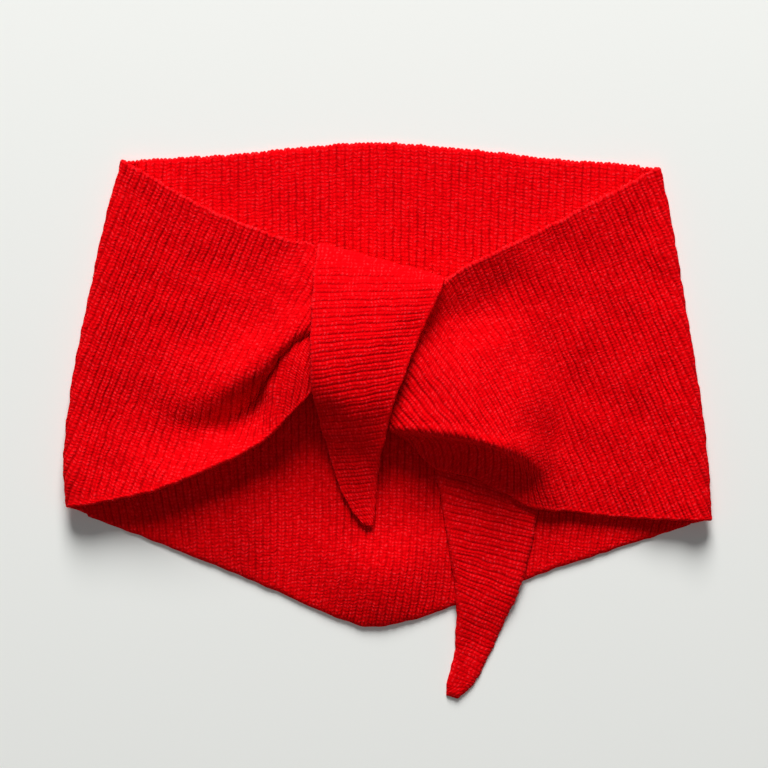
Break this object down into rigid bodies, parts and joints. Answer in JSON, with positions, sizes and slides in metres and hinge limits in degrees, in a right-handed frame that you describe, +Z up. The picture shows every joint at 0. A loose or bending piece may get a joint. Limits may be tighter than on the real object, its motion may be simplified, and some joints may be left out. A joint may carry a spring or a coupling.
{
  "type": "neckerchief",
  "caption": "Red rib-knitted wool neckerchief, tied in a loose half knot with pointed ends and laid flat.",
  "frame": {"origin": "centre of the laid-out neckerchief's box, on the surface that it lies on", "axes": "+X across the neckerchief from fold to fold, +Y towards the upper edge of the back panel, +Z up from the surface"},
  "size_m": [0.3418, 0.2942, 0.0344],
  "materials": {
    "red_rib_knit": "soft matt wool, rib knit, slightly hairy"
  },
  "bodies": {
    "root": {"back_panel": "red_rib_knit", "left_front": "red_rib_knit", "right_front": "red_rib_knit", "knot_core": "red_rib_knit", "front_tail": "red_rib_knit", "back_tail": "red_rib_knit"}
  },
  "joints": []
}
